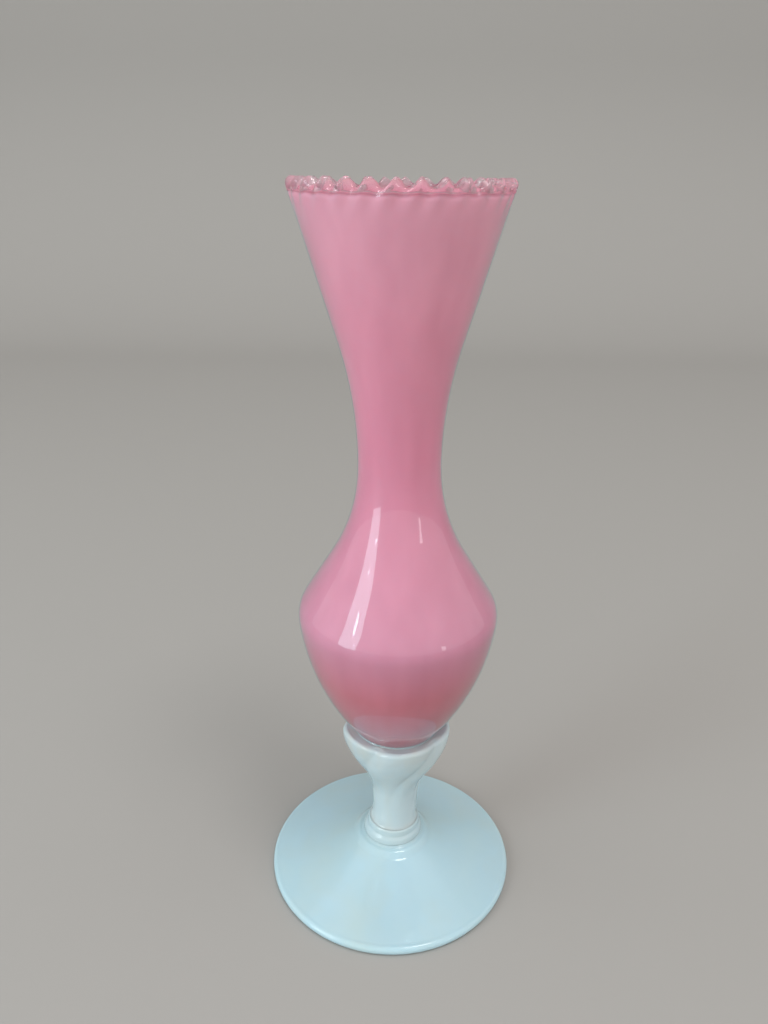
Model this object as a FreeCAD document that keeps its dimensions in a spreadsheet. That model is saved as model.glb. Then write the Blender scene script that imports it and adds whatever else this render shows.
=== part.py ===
import FreeCAD, Part
import math
import os

import Sketcher
from FreeCAD import Vector

# A hand-blown bud vase of opaline glass.  Five gathers of glass, joined while hot: a pink bubble,
# the clear casing over it, which ends in a crimped rim, a twisted five-lobed white cup drawn down
# into a stem, a stepped collar and a spread foot.  Millimetres; +Z is the axis; the foot rests on
# Z = 0.

SIZES = [
    ("foot_radius", 38.6, "outer edge of the foot"),
    ("foot_edge", 2.8, "thickness of the rounded edge of the foot"),
    ("foot_height", 12.4, "table to the top of the foot, where the collar sits"),
    ("foot_crown", 9.6, "radius of the flat top of the foot"),
    ("foot_sweep", 150.0, "radius of the hollow curve of the upper face"),
    ("rest_width", 6.0, "width of the flat ring that the foot rests on"),
    ("foot_hollow", 2.4, "depth of the hollow under the foot"),
    ("collar_radius", 9.2, "lower ring of the collar"),
    ("collar_step", 1.0, "how far the upper ring is set in"),
    ("collar_lower", 2.6, "height of the lower ring"),
    ("collar_upper", 2.8, "height of the upper ring"),
    ("stem_radius", 6.9, "waist of the stem"),
    ("stem_swell", 0.4, "how much the stem widens at its two ends"),
    ("stem_length", 28.7, "top of the collar to the bottom of the bowl"),
    ("cup_height", 24.5, "height of the lobed cup"),
    ("cup_depth", 8.0, "how far the cup rises past the bottom of the bowl"),
    ("cup_radius", 16.0, "mean radius of the lip of the cup"),
    ("cup_fullness", 1.8, "how late the cup opens: 1 is a quarter sine"),
    ("lobe_count", 5, "lobes round the cup"),
    ("lobe_depth", 1.8, "crest of a lobe to the bottom of the crease beside it"),
    ("lobe_start", 8.0, "degrees from the front to the crest of the first lobe at the lip"),
    ("cup_twist", 60.0, "degrees that the lobes turn from the stem to the lip"),
    ("bowl_base", 5.6, "radius at the bottom of the bowl, before its corner is rounded"),
    ("base_round", 5.0, "rounding of the bottom of the bowl"),
    ("flank_round", 76.0, "radius of the curve from the bottom up to the belly"),
    ("belly_radius", 28.65, "widest radius of the bowl"),
    ("belly_rise", 47.3, "bottom of the bowl to the belly"),
    ("shoulder_round", 9.4, "radius of the turn over the belly"),
    ("shoulder_angle", 31.6, "degrees that the shoulder leans in"),
    ("neck_radius", 11.3, "narrowest radius of the neck"),
    ("neck_rise", 45.8, "belly to the narrowest place of the neck"),
    ("flare_round", 111.0, "radius of the curve from the neck to the trumpet"),
    ("flare_angle", 17.0, "degrees that the trumpet leans out"),
    ("rim_rise", 70.4, "neck to the top of the rim"),
    ("casing_wall", 0.9, "thickness of the clear casing"),
    ("opaline_wall", 1.3, "thickness of the pink glass inside it"),
    ("crimp_count", 30, "crimps round the rim"),
    ("crimp_depth", 1.9, "depth of a crimp"),
    ("crimp_width", 2.4, "width of a crimp"),
    ("crimp_slant", 24.0, "degrees that a crimp leans over"),
    ("rim_clear", 0.4, "clear glass left between the bottom of a crimp and the pink"),
]

doc = FreeCAD.newDocument("bud_vase")
sheet = doc.addObject("Spreadsheet::Sheet", "sizes")
for row, (alias, value, note) in enumerate(SIZES, 1):
    sheet.set("A%d" % row, alias)
    sheet.set("B%d" % row, str(value))
    sheet.set("C%d" % row, note)
    sheet.setAlias("B%d" % row, alias)
doc.recompute()


def size(alias):
    return float(sheet.get(alias))


# Heights, each the one before it plus a size of its own: as text for the sketches, as numbers here.
COLLAR_FOOT = "sizes.foot_height"
STEM_FOOT = COLLAR_FOOT + " + sizes.collar_lower + sizes.collar_upper"
BOWL_FOOT = STEM_FOOT + " + sizes.stem_length"
BELLY = BOWL_FOOT + " + sizes.belly_rise"
NECK = BELLY + " + sizes.neck_rise"
RIM = NECK + " + sizes.rim_rise"
PINK_EDGE = RIM + " - sizes.crimp_depth - sizes.rim_clear"

stem_foot = size("foot_height") + size("collar_lower") + size("collar_upper")
bowl_foot = stem_foot + size("stem_length")
belly = bowl_foot + size("belly_rise")
neck = belly + size("neck_rise")
rim = neck + size("rim_rise")
pink_edge = rim - size("crimp_depth") - size("rim_clear")

START, END, CENTRE = 1, 2, 3
ORIGIN, AXIS = -1, -2


def new_sketch(body, name, role):
    """A sketch on one of the body's own origin planes."""
    sketch = body.newObject("Sketcher::SketchObject", name)
    plane = next(item for item in body.Origin.OriginFeatures if item.Role == role)
    sketch.AttachmentSupport = [(plane, "")]
    sketch.MapMode = "FlatFace"
    return sketch


def body_axis(body, role):
    return (next(item for item in body.Origin.OriginFeatures if item.Role == role), [""])


def tie(sketch, name, expression, kind, *where):
    """Add a constraint of one value and tie that value to the sheet."""
    index = sketch.addConstraint(Sketcher.Constraint(kind, *where))
    sketch.renameConstraint(index, name)
    sketch.setExpression("Constraints." + name, expression)


def place(sketch, name, piece, end, spot, across, up):
    """Hold one point of a sketch at two expressions, measured from the origin."""
    tie(sketch, name + "_across", across, "DistanceX", ORIGIN, START, piece, end, spot.x)
    tie(sketch, name + "_up", up, "DistanceY", ORIGIN, START, piece, end, spot.y)


def touch(sketch, kind, first, first_end, second, second_end):
    sketch.addConstraint(Sketcher.Constraint(kind, first, first_end, second, second_end))


def join(sketch, pieces):
    """Join each piece's end to the next one's start."""
    for before, after in zip(pieces, pieces[1:]):
        touch(sketch, "Coincident", before, END, after, START)


def arc(centre, radius, begin, end):
    """An arc drawn anticlockwise between two angles in radians."""
    return Part.ArcOfCircle(Part.Circle(centre, Vector(0, 0, 1), radius), begin, end)


def revolve(body, sketch):
    turn = body.newObject("PartDesign::Revolution", sketch.Name + "_turn")
    turn.Profile = sketch
    turn.ReferenceAxis = (sketch, ["V_Axis"])
    turn.Angle = 360
    body.Tip = turn


def spun_body(label):
    """A body with an empty sketch in the plane of its axis."""
    body = doc.addObject("PartDesign::Body", label)
    body.Label = label
    return body, new_sketch(body, label + "_outline", "XZ_Plane")


# The bubble.  Its form is drawn three times, each one wall further in: bottom, rounded corner,
# flank, shoulder, a straight run, the neck, the flare and the straight trumpet.  The middle form
# stops short of the rim, so that the clear casing closes over the edge of the pink.

def bubble(label, inset, inset_text, head, head_text):
    """A form whose skin lies `inset` inside the outer one and which is cut off level at `head`."""
    body, sketch = spun_body(label)
    corner_round = size("base_round") - inset
    shoulder = size("shoulder_round") - inset
    flank = size("flank_round") - inset
    flare = size("flare_round") + inset
    throat = size("neck_radius") - inset
    lean = math.radians(size("shoulder_angle"))
    spread = math.radians(size("flare_angle"))

    # Where the centres lie, so that the first drawing is already near the answer.
    belly_centre = Vector(size("belly_radius") - size("shoulder_round"), belly, 0)
    corner = Vector(size("bowl_base"), bowl_foot, 0)
    flank_centre = two_circles(belly_centre, size("flank_round") - size("shoulder_round"),
                               corner, size("flank_round"))
    base_up = bowl_foot + size("base_round")
    base_reach = size("flank_round") - size("base_round")
    base_out = math.sqrt(base_reach ** 2 - (flank_centre.y - base_up) ** 2)
    base_centre = Vector(flank_centre.x + base_out, base_up, 0)
    outward = Vector(math.cos(lean), math.sin(lean), 0)
    room = throat * outward.x + neck * outward.y - belly_centre.dot(outward) - shoulder
    hollow = room / (1 - outward.x)
    neck_centre = Vector(throat + hollow, neck, 0)
    flare_centre = Vector(throat + flare, neck, 0)

    foot_end = Vector(base_centre.x, bowl_foot + inset, 0)
    to_base = math.atan2(base_centre.y - flank_centre.y, base_centre.x - flank_centre.x)
    to_belly = math.atan2(belly_centre.y - flank_centre.y, belly_centre.x - flank_centre.x)
    slope_foot = belly_centre + outward * shoulder
    slope_head = neck_centre - outward * hollow
    flare_end = flare_centre + Vector(-math.cos(spread), math.sin(spread), 0) * flare
    head_out = flare_end.x + (head - flare_end.y) * math.tan(spread)
    pi = math.pi
    floor = Vector(0, foot_end.y, 0)
    head_edge = Vector(head_out, head, 0)
    head_middle = Vector(0, head, 0)
    sketch.addGeometry([
        Part.LineSegment(floor, foot_end),
        arc(base_centre, corner_round, -pi / 2, to_base),
        arc(flank_centre, flank, to_base, to_belly),
        arc(belly_centre, shoulder, to_belly, lean),
        Part.LineSegment(slope_foot, slope_head),
        arc(neck_centre, hollow, pi, pi + lean),
        arc(flare_centre, flare, pi - spread, pi),
        Part.LineSegment(flare_end, head_edge),
        Part.LineSegment(head_edge, head_middle),
        Part.LineSegment(head_middle, floor),
    ], False)
    base, corner_arc, flank_arc, belly_arc, slope, neck_arc, flare_arc, trumpet, top, spine = range(10)
    seat = sketch.addGeometry(Part.Point(corner), True)

    # The neck and the flare run clockwise up the outline, so their ends are swapped.
    touch(sketch, "Tangent", base, END, corner_arc, START)
    touch(sketch, "Tangent", corner_arc, END, flank_arc, START)
    touch(sketch, "Tangent", flank_arc, END, belly_arc, START)
    touch(sketch, "Tangent", belly_arc, END, slope, START)
    touch(sketch, "Tangent", slope, END, neck_arc, END)
    touch(sketch, "Tangent", neck_arc, START, flare_arc, END)
    touch(sketch, "Tangent", flare_arc, START, trumpet, START)
    join(sketch, [trumpet, top, spine, base])
    sketch.addConstraint(Sketcher.Constraint("PointOnObject", base, START, AXIS))
    sketch.addConstraint(Sketcher.Constraint("PointOnObject", top, END, AXIS))
    sketch.addConstraint(Sketcher.Constraint("Horizontal", base))
    sketch.addConstraint(Sketcher.Constraint("Horizontal", top))
    sketch.addConstraint(Sketcher.Constraint("Horizontal", neck_arc, CENTRE, neck_arc, START))

    place(sketch, "seat", seat, START, corner, "sizes.bowl_base", BOWL_FOOT)
    tie(sketch, "flank", "sizes.flank_round", "Distance", seat, START, flank_arc, CENTRE,
        size("flank_round"))
    tie(sketch, "floor", BOWL_FOOT + " + " + inset_text, "DistanceY", ORIGIN, START, base, START,
        floor.y)
    tie(sketch, "corner", "sizes.base_round - " + inset_text, "Radius", corner_arc, corner_round)
    place(sketch, "belly", belly_arc, CENTRE, belly_centre,
          "sizes.belly_radius - sizes.shoulder_round", BELLY)
    tie(sketch, "shoulder", "sizes.shoulder_round - " + inset_text, "Radius", belly_arc, shoulder)
    tie(sketch, "lean", "(90 + sizes.shoulder_angle) * 1 deg", "Angle", slope,
        math.pi / 2 + lean)
    place(sketch, "throat", neck_arc, START, Vector(throat, neck, 0),
          "sizes.neck_radius - " + inset_text, NECK)
    tie(sketch, "flare", "sizes.flare_round + " + inset_text, "Radius", flare_arc, flare)
    tie(sketch, "spread", "(90 - sizes.flare_angle) * 1 deg", "Angle", trumpet,
        math.pi / 2 - spread)
    tie(sketch, "head", head_text, "DistanceY", ORIGIN, START, trumpet, END, head)
    revolve(body, sketch)
    return body


def two_circles(first, first_radius, second, second_radius):
    """The crossing of two circles that lies nearer the axis side."""
    gap = second - first
    reach = gap.Length
    along = (first_radius ** 2 - second_radius ** 2 + reach ** 2) / (2 * reach)
    aside = math.sqrt(first_radius ** 2 - along ** 2)
    direction = gap / reach
    square = Vector(-direction.y, direction.x, 0)
    found = [first + direction * along + square * aside, first + direction * along - square * aside]
    return min(found, key=lambda spot: spot.x)


def cut(label, base, tool):
    result = doc.addObject("Part::Cut", label)
    result.Label = label
    result.Base = base
    result.Tool = tool
    return result


both_walls = size("casing_wall") + size("opaline_wall")
outer_form = bubble("outer_form", 0.0, "0", rim, RIM)
middle_form = bubble("middle_form", size("casing_wall"), "sizes.casing_wall", pink_edge, PINK_EDGE)
inner_form = bubble("inner_form", both_walls, "(sizes.casing_wall + sizes.opaline_wall)", rim, RIM)


# The crimps: slots that lean over, pressed through the edge of the rim from outside, all round.

def crimping_tool():
    body = doc.addObject("PartDesign::Body", "crimping_tool")
    sketch = new_sketch(body, "crimp", "YZ_Plane")
    half = size("crimp_width") / 2
    low = rim - size("crimp_depth") + half
    slant = math.radians(size("crimp_slant"))
    sideways = Vector(math.cos(slant), -math.sin(slant), 0)
    upward = Vector(math.sin(slant), math.cos(slant), 0) * (2 * size("crimp_depth"))
    foot = Vector(0, low, 0)
    left, right = foot - sideways * half, foot + sideways * half
    sketch.addGeometry([
        arc(foot, half, math.pi - slant, 2 * math.pi - slant),
        Part.LineSegment(right, right + upward),
        Part.LineSegment(right + upward, left + upward),
        Part.LineSegment(left + upward, left),
    ], False)
    bottom, right_side, lid, left_side = range(4)
    sketch.addConstraint(Sketcher.Constraint("Tangent", bottom, END, right_side, START))
    sketch.addConstraint(Sketcher.Constraint("Tangent", left_side, END, bottom, START))
    join(sketch, [right_side, lid, left_side])
    sketch.addConstraint(Sketcher.Constraint("PointOnObject", bottom, CENTRE, AXIS))
    sketch.addConstraint(Sketcher.Constraint("Perpendicular", right_side, lid))
    sketch.addConstraint(Sketcher.Constraint("Parallel", right_side, left_side))
    tie(sketch, "low", RIM + " - sizes.crimp_depth + sizes.crimp_width / 2", "DistanceY",
        ORIGIN, START, bottom, CENTRE, low)
    tie(sketch, "half", "sizes.crimp_width / 2", "Radius", bottom, half)
    tie(sketch, "slant", "(90 - sizes.crimp_slant) * 1 deg", "Angle", right_side,
        math.pi / 2 - slant)
    tie(sketch, "tall", "2 * sizes.crimp_depth", "Distance", right_side, upward.Length)
    blade = body.newObject("PartDesign::Pad", "blade")
    blade.Profile = sketch
    blade.setExpression("Length", "2 * sizes.belly_radius")
    doc.recompute()
    ring = body.newObject("PartDesign::PolarPattern", "ring_of_blades")
    ring.Originals = [blade]
    ring.Axis = body_axis(body, "Z_Axis")
    ring.Angle = 360
    ring.setExpression("Occurrences", "sizes.crimp_count")
    body.Tip = ring
    return body


crimps = crimping_tool()
casing_blank = cut("casing_blank", cut("casing_core", outer_form, middle_form), inner_form)
casing = cut("bowl_casing", casing_blank, crimps)
opaline = cut("bowl_opaline", middle_form, inner_form)


# The cup and stem: one gather, drawn out round at the stem and pressed into lobes that turn as
# they rise.  The bowl's own outer form is taken out of it, so the two meet face to face.

def ring_of_glass(height):
    """The closed outline of the cup and stem at one height."""
    cup_foot = bowl_foot + size("cup_depth") - size("cup_height")
    opened = max(0.0, (height - cup_foot) / size("cup_height"))
    full = math.sin(math.pi / 2 * min(opened, 1.0)) ** size("cup_fullness")
    waist = (stem_foot + cup_foot) / 2
    swell = size("stem_swell") * min(1.0, abs(height - waist) / (cup_foot - waist)) ** 2
    thin = size("stem_radius") + swell
    mean = thin + (size("cup_radius") - thin) * full
    wave = size("lobe_depth") / 2 * math.sqrt(full)
    lobes = round(size("lobe_count"))
    turned = math.radians(size("lobe_start") - size("cup_twist") * (1 - opened))
    points = []
    steps = 8 * lobes
    for step in range(steps):
        angle = turned + 2 * math.pi * step / steps
        radius = mean + wave * math.cos(lobes * (angle - turned))
        points.append(Vector(radius * math.sin(angle), -radius * math.cos(angle), height))
    curve = Part.BSplineCurve()
    curve.interpolate(points, PeriodicFlag=True)
    return Part.Wire([curve.toShape()])


def cup_and_stem():
    cup_head = bowl_foot + size("cup_depth")
    levels = 11
    rings = []
    for level in range(levels):
        rings.append(ring_of_glass(stem_foot + (cup_head - stem_foot) * level / (levels - 1)))
    gather = doc.addObject("Part::Feature", "cup_gather")
    gather.Shape = Part.makeLoft(rings, True, False)
    gather.Placement = FreeCAD.Placement()
    return gather


calyx = cut("calyx_stem", cup_and_stem(), outer_form)


# The collar: a wafer of two rounded rings between the stem and the foot.

def collar():
    body, sketch = spun_body("stem_collar")
    low, high = size("collar_lower") / 2, size("collar_upper") / 2
    foot = size("foot_height")
    wide = size("collar_radius")
    narrow = wide - size("collar_step")
    bottom, waist, top = foot, foot + 2 * low, foot + 2 * (low + high)
    quarter = math.pi / 2
    sketch.addGeometry([
        Part.LineSegment(Vector(0, bottom, 0), Vector(wide - low, bottom, 0)),
        arc(Vector(wide - low, bottom + low, 0), low, -quarter, quarter),
        Part.LineSegment(Vector(wide - low, waist, 0), Vector(narrow - high, waist, 0)),
        arc(Vector(narrow - high, waist + high, 0), high, -quarter, quarter),
        Part.LineSegment(Vector(narrow - high, top, 0), Vector(0, top, 0)),
        Part.LineSegment(Vector(0, top, 0), Vector(0, bottom, 0)),
    ], False)
    base, lower, ledge, upper, head, spine = range(6)
    join(sketch, [base, lower, ledge, upper, head, spine, base])
    for flat in (base, ledge, head):
        sketch.addConstraint(Sketcher.Constraint("Horizontal", flat))
    sketch.addConstraint(Sketcher.Constraint("PointOnObject", base, START, AXIS))
    sketch.addConstraint(Sketcher.Constraint("PointOnObject", head, END, AXIS))
    sketch.addConstraint(Sketcher.Constraint("Vertical", lower, START, lower, END))
    sketch.addConstraint(Sketcher.Constraint("Vertical", upper, START, upper, END))
    sketch.addConstraint(Sketcher.Constraint("Vertical", lower, CENTRE, lower, END))
    sketch.addConstraint(Sketcher.Constraint("Vertical", upper, CENTRE, upper, END))
    place(sketch, "lower", lower, START, Vector(wide - low, bottom, 0),
          "sizes.collar_radius - sizes.collar_lower / 2", COLLAR_FOOT)
    tie(sketch, "lower_round", "sizes.collar_lower / 2", "Radius", lower, low)
    tie(sketch, "upper_out", "sizes.collar_radius - sizes.collar_step - sizes.collar_upper / 2",
        "DistanceX", ORIGIN, START, upper, END, narrow - high)
    tie(sketch, "upper_round", "sizes.collar_upper / 2", "Radius", upper, high)
    revolve(body, sketch)
    return body


# The foot: a spread gather, hollow underneath so that only an outer ring touches the table.

def foot():
    body, sketch = spun_body("foot_disc")
    edge = size("foot_edge") / 2
    rest_out = size("foot_radius") - edge
    rest_in = rest_out - size("rest_width")
    crown = Vector(size("foot_crown"), size("foot_height"), 0)
    brim = Vector(rest_out, 2 * edge, 0)
    dome = Vector(0, size("foot_hollow"), 0)
    ring = Vector(rest_in, 0, 0)
    chord = crown - brim
    middle = (crown + brim) / 2
    square = Vector(-chord.y, chord.x, 0) / chord.Length
    away = math.sqrt(size("foot_sweep") ** 2 - (chord.Length / 2) ** 2)
    sweep = middle - square * away
    begin = math.atan2(crown.y - sweep.y, crown.x - sweep.x)
    end = math.atan2(brim.y - sweep.y, brim.x - sweep.x)
    hollow_radius = (dome.y ** 2 + ring.x ** 2) / (2 * dome.y)
    hollow_low = Vector(0, dome.y - hollow_radius, 0)
    hollow_end = math.atan2(-hollow_low.y, ring.x)
    sketch.addGeometry([
        arc(hollow_low, hollow_radius, hollow_end, math.pi / 2),
        Part.LineSegment(ring, Vector(rest_out, 0, 0)),
        arc(Vector(rest_out, edge, 0), edge, -math.pi / 2, math.pi / 2),
        arc(sweep, size("foot_sweep"), begin, end),
        Part.LineSegment(crown, Vector(0, crown.y, 0)),
        Part.LineSegment(Vector(0, crown.y, 0), dome),
    ], False)
    under, rest, brim_arc, face, top, spine = range(6)
    touch(sketch, "Coincident", under, START, rest, START)
    touch(sketch, "Coincident", rest, END, brim_arc, START)
    touch(sketch, "Coincident", brim_arc, END, face, END)
    touch(sketch, "Coincident", face, START, top, START)
    touch(sketch, "Coincident", top, END, spine, START)
    touch(sketch, "Coincident", spine, END, under, END)
    for piece, end in ((top, END), (under, END), (under, CENTRE)):
        sketch.addConstraint(Sketcher.Constraint("PointOnObject", piece, end, AXIS))
    sketch.addConstraint(Sketcher.Constraint("PointOnObject", rest, START, ORIGIN))
    sketch.addConstraint(Sketcher.Constraint("Horizontal", rest))
    sketch.addConstraint(Sketcher.Constraint("Horizontal", top))
    sketch.addConstraint(Sketcher.Constraint("Vertical", brim_arc, CENTRE, brim_arc, START))
    sketch.addConstraint(Sketcher.Constraint("Vertical", brim_arc, CENTRE, brim_arc, END))
    tie(sketch, "rest_in", "sizes.foot_radius - sizes.foot_edge / 2 - sizes.rest_width",
        "DistanceX", ORIGIN, START, rest, START, ring.x)
    tie(sketch, "rest_out", "sizes.foot_radius - sizes.foot_edge / 2",
        "DistanceX", ORIGIN, START, rest, END, rest_out)
    tie(sketch, "edge", "sizes.foot_edge / 2", "Radius", brim_arc, edge)
    tie(sketch, "sweep", "sizes.foot_sweep", "Radius", face, size("foot_sweep"))
    place(sketch, "crown", face, START, crown, "sizes.foot_crown", COLLAR_FOOT)
    tie(sketch, "hollow", "sizes.foot_hollow", "DistanceY", ORIGIN, START, under, END, dome.y)
    revolve(body, sketch)
    return body


stem_collar = collar()
foot_disc = foot()
doc.recompute()


# Every object has to have rebuilt, and every piece has to be one sound solid, before it is written.

NODES = [foot_disc, stem_collar, calyx, casing, opaline]
for item in doc.Objects:
    if "Invalid" in item.State or "Error" in item.State:
        raise RuntimeError("%s did not rebuild: %s" % (item.Label, item.State))
os.makedirs("parts", exist_ok=True)
for node in NODES:
    if node.Shape.isNull() or not node.Shape.isValid():
        raise RuntimeError("%s has no sound shape" % node.Label)
    if len(node.Shape.Solids) != 1:
        raise RuntimeError("%s has %d solids" % (node.Label, len(node.Shape.Solids)))
for node in NODES:
    node.Shape.exportStep("parts/%s.step" % node.Label)
    box = node.Shape.optimalBoundingBox(False)
    print("%-14s %9.1f mm3  z %7.2f to %7.2f  radius %6.2f" % (
        node.Label, node.Shape.Volume, box.ZMin, box.ZMax, box.XMax))
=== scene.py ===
import math

import bmesh
import bpy
from mathutils import Euler, Matrix, Vector, noise


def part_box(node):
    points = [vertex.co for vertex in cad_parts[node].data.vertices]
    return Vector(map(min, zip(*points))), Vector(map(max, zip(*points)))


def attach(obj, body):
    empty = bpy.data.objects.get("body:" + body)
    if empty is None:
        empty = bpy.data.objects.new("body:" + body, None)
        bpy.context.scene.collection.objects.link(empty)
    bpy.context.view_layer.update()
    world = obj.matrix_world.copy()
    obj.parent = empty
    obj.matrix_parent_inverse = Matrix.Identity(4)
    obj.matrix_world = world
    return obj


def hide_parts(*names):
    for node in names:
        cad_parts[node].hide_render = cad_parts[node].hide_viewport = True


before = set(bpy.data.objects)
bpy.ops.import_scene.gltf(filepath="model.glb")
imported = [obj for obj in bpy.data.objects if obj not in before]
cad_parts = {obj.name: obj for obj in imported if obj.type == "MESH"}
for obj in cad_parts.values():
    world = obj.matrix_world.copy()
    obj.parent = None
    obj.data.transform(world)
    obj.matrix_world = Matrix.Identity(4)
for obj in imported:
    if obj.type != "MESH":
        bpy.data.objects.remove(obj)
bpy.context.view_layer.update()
MM = 0.001


# ---- The bubble -------------------------------------------------------------------------------
# The blown body of the vase: one bubble of rose opaline glass, round at the bottom, pulled in to a
# narrow neck and spun out to a trumpet.  Its edge was pinched into thirty leaning crimps while
# hot, then fire polished, so the flutes fade out a few millimetres below the rim.

bowl_low, bowl_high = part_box("bowl_casing")
RIM = bowl_high.z
BOWL_FOOT = bowl_low.z
BELLY_RADIUS = bowl_high.x
BELLY_RISE = 47.3 * MM
BELLY = BOWL_FOOT + BELLY_RISE
NECK_RISE = 45.8 * MM
NECK = BELLY + NECK_RISE
NECK_RADIUS = 11.3 * MM
BASE_ROUND = 5.0 * MM
BASE_CORNER = 5.6 * MM
FLANK_ROUND = 76.0 * MM
SHOULDER_ROUND = 9.4 * MM
SHOULDER_LEAN = math.radians(31.6)
FLARE_ROUND = 111.0 * MM
FLARE_LEAN = math.radians(17.0)
CASING_WALL = 0.9 * MM
OPALINE_WALL = 1.3 * MM
BOTH_WALLS = CASING_WALL + OPALINE_WALL


def arc_points(centre, radius, begin, end, count):
    """Points along an arc in the half plane of radius and height."""
    points = []
    for step in range(count + 1):
        angle = begin + (end - begin) * step / count
        points.append(Vector((centre.x + radius * math.cos(angle), centre.y + radius * math.sin(angle))))
    return points


def line_points(start, end, count):
    return [start.lerp(end, (step + 1) / count) for step in range(count)]


def bubble_skin(inset, top):
    """The bubble's outline, `inset` under its surface, from the middle of its bottom up to `top`."""
    # The flank's arc passes through the base's corner and runs smoothly into the belly's.
    belly_centre = Vector((BELLY_RADIUS - SHOULDER_ROUND, BELLY))
    corner = Vector((BASE_CORNER, BOWL_FOOT))
    gap = corner - belly_centre
    near = FLANK_ROUND - SHOULDER_ROUND
    along = (near ** 2 - FLANK_ROUND ** 2 + gap.length_squared) / (2 * gap.length)
    aside = math.sqrt(near ** 2 - along ** 2)
    way = gap.normalized()
    flank_centre = belly_centre + way * along + Vector((way.y, -way.x)) * aside

    # The base's arc rounds off the corner between the flat bottom and the flank.
    base_up = BOWL_FOOT + BASE_ROUND
    base_out = math.sqrt((FLANK_ROUND - BASE_ROUND) ** 2 - (flank_centre.y - base_up) ** 2)
    base_centre = Vector((flank_centre.x + base_out, base_up))

    # Above the belly a straight slope touches the belly's arc and the hollow arc of the neck.
    outward = Vector((math.cos(SHOULDER_LEAN), math.sin(SHOULDER_LEAN)))
    shoulder = SHOULDER_ROUND - inset
    throat = Vector((NECK_RADIUS - inset, NECK))
    hollow = (throat.dot(outward) - belly_centre.dot(outward) - shoulder) / (1 - outward.x)
    flare = FLARE_ROUND + inset

    to_base = math.atan2(base_centre.y - flank_centre.y, base_centre.x - flank_centre.x)
    to_belly = math.atan2(belly_centre.y - flank_centre.y, belly_centre.x - flank_centre.x)
    neck_centre = throat + Vector((hollow, 0))
    flare_centre = throat + Vector((flare, 0))

    floor = Vector((0, BOWL_FOOT + inset))
    points = [floor] + line_points(floor, Vector((base_centre.x, floor.y)), 4)
    points += arc_points(base_centre, BASE_ROUND - inset, -math.pi / 2, to_base, 8)[1:]
    points += arc_points(flank_centre, FLANK_ROUND - inset, to_base, to_belly, 20)[1:]
    points += arc_points(belly_centre, shoulder, to_belly, SHOULDER_LEAN, 12)[1:]
    slope_top = neck_centre - outward * hollow
    points += line_points(points[-1], slope_top, 5)
    points += arc_points(neck_centre, hollow, math.pi + SHOULDER_LEAN, math.pi, 14)[1:]
    points += arc_points(flare_centre, flare, math.pi, math.pi - FLARE_LEAN, 14)[1:]
    run = (top - points[-1].y) * math.tan(FLARE_LEAN)
    points += line_points(points[-1], Vector((points[-1].x + run, top)), 44)
    return points


RIM_RADIUS = bubble_skin(0.0, RIM)[-1].x
CRIMPS = 30
FIRST_CRIMP = math.radians(-3.4)
FLUTE_LENGTH = 9.0 * MM
CRIMP_IN_OUT = 0.65 * MM
CRIMP_UP_DOWN = 1.0 * MM
CRIMP_TURN = math.radians(24.0)
CRIMP_LEADS = 0.7
CRIMP_DIPS = 0.65
CRIMPS_WANDER = 0.5
DEPTHS_DIFFER = 0.3
HEIGHTS_DIFFER = 0.35
RIM_TURNED_IN = 0.8 * MM
RIM_TILT = 0.4 * MM
SIDES_PER_CRIMP = 12
SIDES = CRIMPS * SIDES_PER_CRIMP


def crimped(spot, angle):
    """Where a point of the wall goes when the rim is pinched: in and out, and up and down.

    The pinch in and out runs ahead of the one up and down, so that the crimps lean like a rope's
    strands.  The dips are deeper than the crests are high.
    """
    reach = max(0.0, 1 - (RIM - spot.y) / FLUTE_LENGTH)
    grip = reach ** 2
    lean = (RIM - spot.y) * math.tan(CRIMP_TURN) / (RIM_RADIUS / CRIMPS)
    uneven = noise.noise(Vector((3 * math.cos(angle), 3 * math.sin(angle), 1.7)))
    phase = CRIMPS * (angle - FIRST_CRIMP) + lean + CRIMPS_WANDER * uneven
    radius = spot.x - grip ** 2 * RIM_TURNED_IN
    radius += grip * CRIMP_IN_OUT * (1 + DEPTHS_DIFFER * uneven) * math.cos(phase + CRIMP_LEADS)
    rise = CRIMP_UP_DOWN * (1 + HEIGHTS_DIFFER * uneven) * (math.cos(phase) - CRIMP_DIPS)
    height = spot.y + grip ** 3 * (rise + RIM_TILT * math.cos(angle))
    return radius, height


OUT_OF_ROUND = 0.006
SWELL_LENGTH = 28.0 * MM
SWELLS_ROUND = 1.3


def hand_blown(radius, height, angle):
    """The wall is never quite round: it swells and sags by a tenth of a millimetre or two."""
    around = (SWELLS_ROUND * math.cos(angle), SWELLS_ROUND * math.sin(angle))
    return radius * (1 + OUT_OF_ROUND * noise.noise(Vector((*around, height / SWELL_LENGTH))))


SET_OVER = 1.2 * MM
SET_OVER_BY = 26.0 * MM


def set_over(height):
    """How far the blown glass stands to one side of the foot's middle: least at the foot and rim."""
    climb = min(1.0, height / SET_OVER_BY)
    back = max(0.0, (height - SET_OVER_BY) / (RIM - SET_OVER_BY))
    return SET_OVER * climb ** 2 * (3 - 2 * climb) * (1 - back ** 2)


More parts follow.
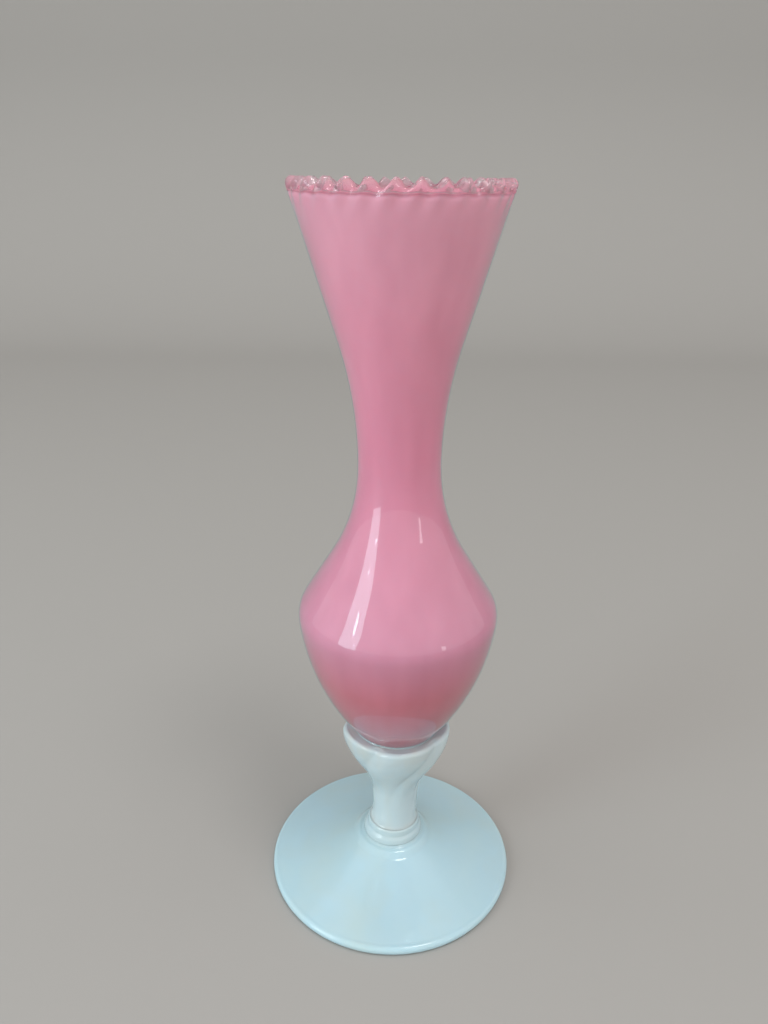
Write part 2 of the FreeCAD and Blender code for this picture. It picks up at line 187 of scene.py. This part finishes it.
def spin_up(name, outline, shape, next_finish=()):
    """A closed skin from an outline turned round the axis; `shape` places each point.

    At each row in `next_finish` the faces go on to the piece's next finish.
    """
    mesh = bpy.data.meshes.new(name)
    build = bmesh.new()
    rings = []
    for spot in outline:
        if spot.x < 1e-6:
            rings.append([build.verts.new((set_over(spot.y), 0, spot.y))])
            continue
        ring = []
        for side in range(SIDES):
            angle = 2 * math.pi * side / SIDES
            radius, height = shape(spot, angle)
            across = radius * math.sin(angle) + set_over(height)
            ring.append(build.verts.new((across, -radius * math.cos(angle), height)))
        rings.append(ring)
    for row, (lower, upper) in enumerate(zip(rings, rings[1:])):
        for side in range(SIDES):
            after = (side + 1) % SIDES
            if len(lower) == 1:
                corners = (lower[0], upper[after], upper[side])
            elif len(upper) == 1:
                corners = (lower[side], lower[after], upper[0])
            else:
                corners = (lower[side], lower[after], upper[after], upper[side])
            face = build.faces.new(corners)
            face.smooth = True
            face.material_index = sum(row >= start for start in next_finish)
    bmesh.ops.recalc_face_normals(build, faces=build.faces)
    build.to_mesh(mesh)
    build.free()
    piece = bpy.data.objects.new(name, mesh)
    bpy.context.scene.collection.objects.link(piece)
    return piece


def lip(outer, inner, height, count):
    """The fire-polished edge: a half round from the outer skin over to the inner one."""
    half = (outer - inner) / 2
    middle = Vector(((outer + inner) / 2, height))
    return arc_points(middle, half, 0, math.pi, count)[1:-1]


def node_tree(material):
    material.use_nodes = True
    tree = material.node_tree
    for node in list(tree.nodes):
        if node.type != "BSDF_PRINCIPLED" and node.type != "OUTPUT_MATERIAL":
            tree.nodes.remove(node)
    return tree, tree.nodes["Principled BSDF"]


def add_node(tree, kind, **sockets):
    node = tree.nodes.new(kind)
    for name, value in sockets.items():
        node.inputs[name.replace("_", " ")].default_value = value
    return node


def object_place(tree, scale):
    """The place on the object, in its own coordinates, stretched by `scale`."""
    place = tree.nodes.new("ShaderNodeTexCoord")
    mapping = tree.nodes.new("ShaderNodeMapping")
    mapping.inputs["Scale"].default_value = scale
    tree.links.new(place.outputs["Object"], mapping.inputs["Vector"])
    return mapping.outputs["Vector"]


def cloud(tree, scale, size, detail=3.0):
    texture = add_node(tree, "ShaderNodeTexNoise", Scale=size, Detail=detail)
    tree.links.new(object_place(tree, scale), texture.inputs["Vector"])
    return texture.outputs["Fac"]


def ramp(tree, factor, stops):
    """A colour ramp over [(position, colour)]."""
    node = tree.nodes.new("ShaderNodeValToRGB")
    band = node.color_ramp
    while len(band.elements) < len(stops):
        band.elements.new(0.5)
    for element, (position, colour) in zip(band.elements, stops):
        element.position = position
        element.color = (*colour, 1)
    tree.links.new(factor, node.inputs["Fac"])
    return node.outputs["Color"]


def stained(tree, colour, stain):
    """One colour seen through another."""
    node = tree.nodes.new("ShaderNodeMix")
    node.data_type = "RGBA"
    node.blend_type = "MULTIPLY"
    node.inputs["Factor"].default_value = 1.0
    colours = [socket for socket in node.inputs if socket.type == "RGBA"]
    tree.links.new(colour, colours[0])
    tree.links.new(stain, colours[1])
    return next(socket for socket in node.outputs if socket.type == "RGBA")


def height_share(tree, low, high):
    """How far up between two heights, from 0 to 1."""
    place = tree.nodes.new("ShaderNodeTexCoord")
    split = tree.nodes.new("ShaderNodeSeparateXYZ")
    tree.links.new(place.outputs["Object"], split.inputs["Vector"])
    climb = add_node(tree, "ShaderNodeMapRange")
    climb.inputs["From Min"].default_value = low
    climb.inputs["From Max"].default_value = high
    tree.links.new(split.outputs["Z"], climb.inputs["Value"])
    return climb.outputs["Result"]


def opaline_pink():
    """Rose opaline: dense and even, with faint pulled streaks. Low on the bulb it is painted deeper and
    redder: mostly a painted reflection of a warm wooden floor, partly the thicker gather there.
    """
    material = bpy.data.materials.new("rose_opaline")
    tree, glass = node_tree(material)
    # Below the belly (up to 0.2 of the height) the rose is deeper and redder: mostly painted reflection of
    # a warm wooden floor, partly the thicker gather; paler towards the rim.
    floor_reflection_and_gather = ramp(tree, height_share(tree, BOWL_FOOT, RIM), [
        (0.00, (0.58, 0.200, 0.245)),
        (0.20, (0.62, 0.190, 0.245)),
        (0.30, (0.66, 0.295, 0.410)),
        (0.60, (0.75, 0.285, 0.400)),
        (0.80, (0.80, 0.335, 0.450)),
        (1.00, (0.82, 0.410, 0.520)),
    ])
    streaks = ramp(tree, cloud(tree, (1, 1, 0.09), 170.0), [
        (0.30, (0.93, 0.90, 0.91)),
        (0.70, (1.0, 1.0, 1.0)),
    ])
    mottle = ramp(tree, cloud(tree, (1, 1, 0.6), 45.0, 2.0), [
        (0.35, (0.95, 0.93, 0.94)),
        (0.65, (1.0, 1.0, 1.0)),
    ])
    colour = stained(tree, stained(tree, floor_reflection_and_gather, streaks), mottle)
    tree.links.new(colour, glass.inputs["Base Color"])
    glass.inputs["Roughness"].default_value = 0.35
    glass.inputs["Specular IOR Level"].default_value = 0.15
    glass.inputs["Subsurface Weight"].default_value = 0.35
    glass.inputs["Subsurface Radius"].default_value = (1.0, 0.45, 0.5)
    glass.inputs["Subsurface Scale"].default_value = 3.0 * MM
    return material


SHOWS_AT = 0.16 * MM     # curved clear glass magnifies the pink until it fills the outline
CLEAR_EDGE = 2.3 * MM
PINK_TOP = RIM - CLEAR_EDGE
PINK_EDGE = PINK_TOP - (BOTH_WALLS - SHOWS_AT) / 2
pink_outside = bubble_skin(SHOWS_AT, PINK_EDGE)
pink_inside = bubble_skin(BOTH_WALLS, PINK_EDGE)
pink_outline = pink_outside + lip(pink_outside[-1].x, pink_inside[-1].x, PINK_EDGE, 8)
pink_outline += list(reversed(pink_inside))


def wall_of_bubble(spot, angle):
    radius, height = crimped(spot, angle)
    return hand_blown(radius, height, angle), height


bubble = spin_up("opaline_bubble", pink_outline, wall_of_bubble)
bubble.data.materials.append(opaline_pink())
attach(bubble, "root")
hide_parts("bowl_opaline")


# ---- The casing -------------------------------------------------------------------------------
# A thin coat of clear crystal gathered over the pink before blowing.  It gives the bulb its wet
# depth.  The pink stops short of the rim, so the crimped edge is clear and catches the light.

BOND = 0.03 * MM         # so that the two skins never share a face
MIRROR_HEAD_ON = 0.045
MIRROR_AT_A_GLANCE = 0.58
MIRROR_GROWS = 4.6
MIRROR_COLOUR = (0.78, 0.98, 1.0, 1)


def mirror_share(tree, normal):
    """How much the polished glass mirrors: a little head on, a good half at a glance, from either side."""
    facing = add_node(tree, "ShaderNodeLayerWeight", Blend=0.5)
    tree.links.new(normal, facing.inputs["Normal"])
    steep = tree.nodes.new("ShaderNodeMath")
    steep.operation = "POWER"
    steep.inputs[1].default_value = MIRROR_GROWS
    tree.links.new(facing.outputs["Facing"], steep.inputs[0])
    share = add_node(tree, "ShaderNodeMapRange")
    share.inputs["To Min"].default_value = MIRROR_HEAD_ON
    tree.links.new(steep.outputs["Value"], share.inputs["Value"])
    capped = tree.nodes.new("ShaderNodeMath")
    capped.operation = "MINIMUM"
    capped.inputs[1].default_value = MIRROR_AT_A_GLANCE
    tree.links.new(share.outputs["Result"], capped.inputs[0])
    return capped.outputs["Value"]


def clear_casing():
    """Clear polished glass that lets light through and mirrors more at a glance, with a cool cast."""
    material = bpy.data.materials.new("clear_crystal")
    tree, plain = node_tree(material)
    tree.nodes.remove(plain)
    through = add_node(tree, "ShaderNodeBsdfTransparent", Color=(0.985, 0.975, 0.98, 1))
    mirror = add_node(tree, "ShaderNodeBsdfGlossy", Roughness=0.035, Color=MIRROR_COLOUR)
    ripple = add_node(tree, "ShaderNodeBump", Strength=0.12, Distance=0.4 * MM)
    tree.links.new(cloud(tree, (1, 1, 0.35), 70.0, 1.0), ripple.inputs["Height"])
    tree.links.new(ripple.outputs["Normal"], mirror.inputs["Normal"])
    mix = tree.nodes.new("ShaderNodeMixShader")
    tree.links.new(mirror_share(tree, ripple.outputs["Normal"]), mix.inputs["Fac"])
    tree.links.new(through.outputs["BSDF"], mix.inputs[1])
    tree.links.new(mirror.outputs["BSDF"], mix.inputs[2])
    output = next(node for node in tree.nodes if node.type == "OUTPUT_MATERIAL")
    tree.links.new(mix.outputs["Shader"], output.inputs["Surface"])
    return material


def bonded_glass():
    """The inner face of the casing, fused to the pink, so it mirrors nothing."""
    material = bpy.data.materials.new("bonded_crystal")
    tree, plain = node_tree(material)
    tree.nodes.remove(plain)
    through = add_node(tree, "ShaderNodeBsdfTransparent", Color=(1, 1, 1, 1))
    output = next(node for node in tree.nodes if node.type == "OUTPUT_MATERIAL")
    tree.links.new(through.outputs["BSDF"], output.inputs["Surface"])
    return material


def rim_crystal():
    """Above the pink the wall is nearly clear right through, tinted pink just above the pink and paler
    towards the edge.
    """
    material = bpy.data.materials.new("rim_crystal")
    tree, glass = node_tree(material)
    blush = ramp(tree, height_share(tree, PINK_TOP, RIM), [
        (0.00, (0.90, 0.54, 0.64)),
        (0.45, (0.95, 0.71, 0.79)),
        (1.00, (1.0, 0.86, 0.90)),
    ])
    tree.links.new(blush, glass.inputs["Base Color"])
    glass.inputs["Transmission Weight"].default_value = 0.82
    glass.inputs["IOR"].default_value = 1.5
    glass.inputs["Roughness"].default_value = 0.05
    ripple = add_node(tree, "ShaderNodeBump", Strength=0.2, Distance=0.15 * MM)
    tree.links.new(cloud(tree, (1, 1, 1), 900.0, 0.0), ripple.inputs["Height"])
    tree.links.new(ripple.outputs["Normal"], glass.inputs["Normal"])
    return material


BEAD = RIM - BOTH_WALLS / 2
clear_outside = bubble_skin(0.0, BEAD)
clear_inside = bubble_skin(BOTH_WALLS, BEAD)
bonded = bubble_skin(SHOWS_AT - BOND, PINK_EDGE)
over_pink = lip(bonded[-1].x, clear_inside[-1].x, PINK_EDGE + BOND, 8)
clear_outline = clear_outside + lip(clear_outside[-1].x, clear_inside[-1].x, BEAD, 12)
clear_outline += [spot for spot in reversed(clear_inside) if spot.y >= PINK_EDGE]
rim_row = sum(spot.y < PINK_TOP for spot in clear_outside) - 1
bonded_row = len(clear_outline) - 1
clear_outline += list(reversed(over_pink)) + list(reversed(bonded))
casing = spin_up("clear_casing", clear_outline, wall_of_bubble, next_finish=(rim_row, bonded_row))
casing.data.materials.append(clear_casing())
casing.data.materials.append(rim_crystal())
casing.data.materials.append(bonded_glass())
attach(casing, "root")
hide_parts("bowl_casing")


# ---- The cup and stem -------------------------------------------------------------------------
# One gather of white opal glass.  It was pressed into five leaf-like lobes round the hot bulb,
# twisted to the right and drawn out into a short round stem.

stem_low, stem_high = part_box("calyx_stem")
STEM_FOOT = stem_low.z
CUP_LIP = stem_high.z
CUP_HEIGHT = 24.5 * MM
STEM_RADIUS = 6.9 * MM
STEM_SWELL = 0.4 * MM
STEM_SPREAD = 0.4 * MM
STEM_ROWS = 18
CUP_RADIUS = 16.0 * MM
CUP_FULLNESS = 1.8
CUP_ROWS = 34
LOBES = 5
LOBE_DEPTH = 0.75 * MM
LOBE_START = math.radians(8.0)
CUP_TWIST = math.radians(60.0)
LOBE_SKEW = 0.5
LOBES_AT_WAIST = 0.14
CREASE_SOFTNESS = 0.012
CREST_MIDDLE = 1.1
LIP_RISE = 0.3 * MM
LIP_ROUND = 1.1 * MM
THREAD = 0.45 * MM
THREAD_OFF_BULB = 0.8    # these three in thread radii
THREAD_OVER_LIP = 0.35
GROOVE_OUT = 1.15
GROOVE = 0.12 * MM
WETS_BY = 0.08 * MM


def soft_line(points, count):
    """A smooth line through the given points (a Catmull-Rom spline), `count` steps to a span."""
    ends = [2 * points[0] - points[1]] + points + [2 * points[-1] - points[-2]]
    line = [points[0]]
    for before, start, end, after in zip(ends, ends[1:], ends[2:], ends[3:]):
        for step in range(1, count + 1):
            t = step / count
            line.append((2 * start + (end - before) * t
                         + (2 * before - 5 * start + 4 * end - after) * t ** 2
                         + (3 * start - before - 3 * end + after) * t ** 3) / 2)
    return line


def lobed(spot, angle):
    """Five lobes, broad at the crest and pinched at the crease, that turn as the cup opens."""
    fullness = spot.z
    opened = (spot.y - (CUP_LIP - CUP_HEIGHT)) / CUP_HEIGHT
    turned = LOBE_START - CUP_TWIST * (1 - opened)
    phase = LOBES * (angle - turned)
    phase += LOBE_SKEW * math.cos(phase)
    crest = 2 * math.sqrt(math.cos(phase / 2) ** 2 + CREASE_SOFTNESS) - CREST_MIDDLE
    return spot.x + LOBE_DEPTH * fullness * crest, spot.y + LIP_RISE * fullness ** 6 * crest


def cup_outline():
    """From the foot of the stem up the outside, over the lip and down to the seat of the bulb.

    The third number of each point is how full the lobes are there.  The rows crowd at the foot,
    where the stem spreads.
    """
    start = CUP_LIP - CUP_HEIGHT
    thin = STEM_RADIUS + STEM_SWELL
    points = [Vector((0, STEM_FOOT, 0)), Vector((STEM_RADIUS / 2, STEM_FOOT, 0))]
    for step in range(STEM_ROWS + 1):
        along = step / STEM_ROWS
        height = STEM_FOOT + (start - STEM_FOOT) * along ** 1.5
        swell = STEM_SWELL * (2 * along - 1) ** 2
        spread = STEM_SPREAD * math.exp((STEM_FOOT - height) / (3 * STEM_SPREAD))
        points.append(Vector((STEM_RADIUS + swell + spread, height, LOBES_AT_WAIST * along)))
    for step in range(1, CUP_ROWS + 1):
        opened = step / CUP_ROWS
        full = math.sin(math.pi / 2 * opened) ** CUP_FULLNESS
        height = start + (CUP_HEIGHT - LIP_ROUND) * opened
        fullness = LOBES_AT_WAIST + (1 - LOBES_AT_WAIST) * math.sqrt(full)
        points.append(Vector((thin + (CUP_RADIUS - thin) * full, height, fullness)))
    shoulder = points[-1] - Vector((LIP_ROUND, 0, 0))
    for spot in arc_points(shoulder, LIP_ROUND, 0, math.pi / 2, 7)[1:]:
        points.append(Vector((spot.x, spot.y, 1.0)))
    seat = [spot for spot in bubble_skin(WETS_BY, RIM) if spot.y < CUP_LIP + THREAD]
    bulb = seat[-1].x
    top = points[-1]
    middle = Vector((bulb + THREAD * THREAD_OFF_BULB, top.y + THREAD * THREAD_OVER_LIP))
    groove = Vector((middle.x + THREAD * GROOVE_OUT, top.y - GROOVE, 0.15))
    halfway = Vector(((top.x + groove.x) / 2, top.y + GROOVE / 6, 0.6))
    points += soft_line([top, halfway, groove], 4)[1:]
    for spot in arc_points(middle, THREAD, -0.15 * math.pi, 0.85 * math.pi, 10):
        points.append(Vector((spot.x, spot.y, 0)))
    points += [Vector((spot.x, spot.y, 0)) for spot in reversed(seat)]
    return points


def wall_of_cup(spot, angle):
    radius, height = lobed(spot, angle)
    return hand_blown(radius, height, angle), height


THIN_OPAL = Vector((0.455, 0.640, 0.720))
THICK_OPAL = Vector((0.545, 0.655, 0.695))


def opal_white(name, drawn, cream):
    """White opal: milky and bluish where it is thin, a little creamy where it is thick.

    `drawn` is how far the glass was pulled out along the axis, which draws its clouds into threads.
    `cream` goes from 0 for a thin piece to 1 for a thick one.
    """
    material = bpy.data.materials.new(name)
    tree, glass = node_tree(material)
    red, green, blue = THIN_OPAL.lerp(THICK_OPAL, cream)
    threads = ramp(tree, cloud(tree, (1, 1, 1 / drawn), 60.0 * drawn ** 0.7), [
        (0.30, (red * 1.04, green * 0.98, blue * 0.93)),
        (0.55, (red, green, blue)),
        (0.75, (red * 1.04, green * 1.02, blue)),
    ])
    body = ramp(tree, cloud(tree, (1, 1, 0.5), 40.0, 2.0), [
        (0.35, (0.97, 0.975, 0.96)),
        (0.65, (1.0, 1.0, 1.0)),
    ])
    tree.links.new(stained(tree, threads, body), glass.inputs["Base Color"])
    glass.inputs["Roughness"].default_value = 0.07
    glass.inputs["IOR"].default_value = 1.5
    glass.inputs["Subsurface Weight"].default_value = 0.6
    glass.inputs["Subsurface Radius"].default_value = (0.9, 0.95, 1.0)
    glass.inputs["Subsurface Scale"].default_value = 2.2 * MM
    wave = add_node(tree, "ShaderNodeBump", Strength=0.15, Distance=0.3 * MM)
    tree.links.new(cloud(tree, (1, 1, 0.5), 90.0, 1.0), wave.inputs["Height"])
    tree.links.new(wave.outputs["Normal"], glass.inputs["Normal"])
    return material


cup = spin_up("lobed_cup_and_stem", cup_outline(), wall_of_cup)
cup.data.materials.append(opal_white("white_opal_threads", 6.0, 1.0))
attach(cup, "root")
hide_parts("calyx_stem")


# ---- The collar -------------------------------------------------------------------------------
# A stepped wafer of the same white opal, pressed between the stem and the foot to join them.

collar_low, collar_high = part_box("stem_collar")
COLLAR_RADIUS = collar_high.x
LOWER_RING = 2.6 * MM
UPPER_RING = 2.8 * MM
COLLAR_STEP = 1.0 * MM
TOP_ROUND = 0.34 * MM
UNDERCUT = 0.5 * MM


def round_section(spot, angle):
    return hand_blown(spot.x, spot.y, angle), spot.y


def collar_outline():
    """Two rings, one stepped in above the other, with soft hollows between them and below.

    Each spot is how far it stands out from its ring's edge and how far up the ring it is.
    """
    low, joint, high = collar_low.z, collar_low.z + LOWER_RING, collar_high.z
    outer, inner = COLLAR_RADIUS, COLLAR_RADIUS - COLLAR_STEP
    rings = []
    for out, rise in ((0.0, 0.12), (0.0, 0.50), (-0.22 * MM, 0.86)):
        rings.append(Vector((outer + out, low + rise * LOWER_RING)))
    for out, rise in ((0.50 * MM, 0.06), (0.14 * MM, 0.26), (0.06 * MM, 0.55), (-0.06 * MM, 0.84)):
        rings.append(Vector((inner + out, joint + rise * UPPER_RING)))
    rings.append(Vector((inner - TOP_ROUND, high)))
    points = [Vector((0, low)), Vector((outer * 0.5, low)), Vector((outer - UNDERCUT, low))]
    points += soft_line(rings, 5)
    points += [Vector((inner * 0.5, high)), Vector((0, high))]
    return points


collar = spin_up("stepped_collar", collar_outline(), round_section)
collar.data.materials.append(opal_white("white_opal_wafer", 1.0, 0.5))
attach(collar, "root")
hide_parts("stem_collar")


# ---- The foot ---------------------------------------------------------------------------------
# A gather of white opal spun out to a thin saucer with a rounded edge.  It is hollow underneath
# and stands on its outer ring.

foot_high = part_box("foot_disc")[1]
FOOT_RADIUS = foot_high.x
FOOT_EDGE = 2.8 * MM
FOOT_TOP = foot_high.z
FOOT_CROWN = 9.6 * MM
REST_WIDTH = 6.0 * MM
FOOT_HOLLOW = 2.4 * MM
FOOT_SWEEP = 0.18
COVE_OUT = 12.6 * MM
COVE_RISE = 0.6 * MM
COVE_UNDER = 0.8 * MM
HOLLOW_ROWS = 12
TOP_ROWS = 40


def foot_outline():
    """Out under the hollow to the resting ring, round the edge, and in and up to the collar.

    Each spot of the cove is how far out from the collar and how far up from the foot's top it is.
    """
    edge = Vector((FOOT_RADIUS - FOOT_EDGE / 2, FOOT_EDGE / 2))
    rest_in = edge.x - REST_WIDTH
    points = []
    for step in range(HOLLOW_ROWS + 1):
        out = step / HOLLOW_ROWS
        points.append(Vector((rest_in * out, FOOT_HOLLOW * (1 - out ** 2))))
    points += line_points(points[-1], Vector((edge.x, 0)), 4)
    points += arc_points(edge, FOOT_EDGE / 2, -math.pi / 2, math.pi / 2, 14)[1:]
    brim = points[-1]
    for step in range(1, TOP_ROWS + 1):
        out = brim.x + (COVE_OUT - brim.x) * step / TOP_ROWS
        way = (brim.x - out) / (brim.x - FOOT_CROWN)
        climb = (1 - FOOT_SWEEP) * way + FOOT_SWEEP * way ** 5
        points.append(Vector((out, brim.y + (FOOT_TOP - brim.y) * climb)))
    cove = [points[-1]]
    for out, rise in ((1.80 * MM, -0.25 * MM), (0.75 * MM, 0.12 * MM), (0.08 * MM, COVE_RISE)):
        cove.append(Vector((COLLAR_RADIUS + out, FOOT_TOP + rise)))
    points += soft_line(cove, 5)[1:]
    points += [Vector((COLLAR_RADIUS - COVE_UNDER, FOOT_TOP + COVE_RISE)), Vector((0, FOOT_TOP))]
    return points


foot = spin_up("spread_foot", foot_outline(), lambda spot, angle: (spot.x, spot.y))
foot.data.materials.append(opal_white("white_opal_foot", 1.0, 0.0))
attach(foot, "root")
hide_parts("foot_disc")


# ---- The stage --------------------------------------------------------------------------------
# A plain pale sweep of paper under and behind the vase, a soft window to the left of it with two
# brighter panes, a weaker one to the right, a skylight, and the eye at the height of the rim.

PAPER_HALF = 3.0
PAPER_FRONT = -2.5
PAPER_BACK = 0.75
PAPER_BEND = 0.35
PAPER_TOP = 3.0


def paper_sweep():
    mesh = bpy.data.meshes.new("paper_sweep")
    build = bmesh.new()
    bend = Vector((PAPER_BACK, PAPER_BEND))
    outline = [Vector((PAPER_FRONT, 0.0))] + arc_points(bend, PAPER_BEND, -math.pi / 2, 0, 16)
    outline.append(Vector((PAPER_BACK + PAPER_BEND, PAPER_TOP)))
    sides = (-PAPER_HALF, PAPER_HALF)
    rows = [[build.verts.new((across, spot.x, spot.y)) for across in sides] for spot in outline]
    for near, far in zip(rows, rows[1:]):
        build.faces.new((near[0], near[1], far[1], far[0])).smooth = True
    build.to_mesh(mesh)
    build.free()
    piece = bpy.data.objects.new("paper_sweep", mesh)
    bpy.context.scene.collection.objects.link(piece)
    material = bpy.data.materials.new("pale_paper")
    tree, paper = node_tree(material)
    paper.inputs["Base Color"].default_value = (0.385, 0.375, 0.36, 1)
    paper.inputs["Roughness"].default_value = 0.9
    mesh.materials.append(material)
    return piece


paper_sweep()


MIDDLE = Vector((0, 0, 0.11))


def window(name, spot, width, height, watts, colour):
    """A soft light at `spot`, turned to the middle of the vase."""
    light = bpy.data.lights.new(name, "AREA")
    light.shape = "RECTANGLE"
    light.size = width
    light.size_y = height
    light.energy = watts
    light.color = colour
    lamp = bpy.data.objects.new(name, light)
    lamp.location = spot
    lamp.rotation_euler = (MIDDLE - Vector(spot)).to_track_quat("-Z", "Y").to_euler()
    bpy.context.scene.collection.objects.link(lamp)


window("left_window", (-0.87, -0.59, 0.42), 0.41, 0.84, 4.6, (0.84, 1.0, 1.06))
window("low_pane", (-0.80, -0.69, 0.31), 0.045, 0.045, 0.08, (0.90, 1.0, 1.05))
window("high_pane", (-0.79, -0.575, 0.545), 0.045, 0.045, 0.08, (0.90, 1.0, 1.05))
window("right_window", (0.78, -0.70, 0.22), 0.10, 0.20, 0.25, (1.0, 1.0, 1.0))
window("roof_light", (0.30, -0.36, 1.25), 0.35, 0.35, 3.4, (1.0, 0.98, 0.95))

world = bpy.data.worlds.new("soft_room")
world.use_nodes = True
room = world.node_tree
daylight = room.nodes["Background"]
daylight.inputs["Color"].default_value = (1.0, 0.98, 0.96, 1)
daylight.inputs["Strength"].default_value = 0.97
wall = add_node(room, "ShaderNodeBackground", Color=(0.38, 0.37, 0.355, 1))     # past the paper
seen = room.nodes.new("ShaderNodeLightPath")
either = room.nodes.new("ShaderNodeMixShader")
room.links.new(seen.outputs["Is Camera Ray"], either.inputs["Fac"])
room.links.new(daylight.outputs["Background"], either.inputs[1])
room.links.new(wall.outputs["Background"], either.inputs[2])
room.links.new(either.outputs["Shader"], room.nodes["World Output"].inputs["Surface"])
bpy.context.scene.world = world
bpy.context.scene.view_settings.view_transform = "Standard"

EYE = Vector((-3.3, -207.7, 213.6)) * MM
LOOK_DOWN = math.radians(23.15)
HEAD_TILT = math.radians(0.61)
eye = bpy.data.cameras.new("eye")
eye.sensor_width = 36.0
eye.lens = 28.83
eye.clip_start = 0.01
camera = bpy.data.objects.new("eye", eye)
look = Euler((math.pi / 2 - LOOK_DOWN, 0, 0)).to_matrix() @ Matrix.Rotation(HEAD_TILT, 3, "Z")
camera.matrix_world = Matrix.Translation(EYE) @ look.to_4x4()
bpy.context.scene.collection.objects.link(camera)
bpy.context.scene.camera = camera
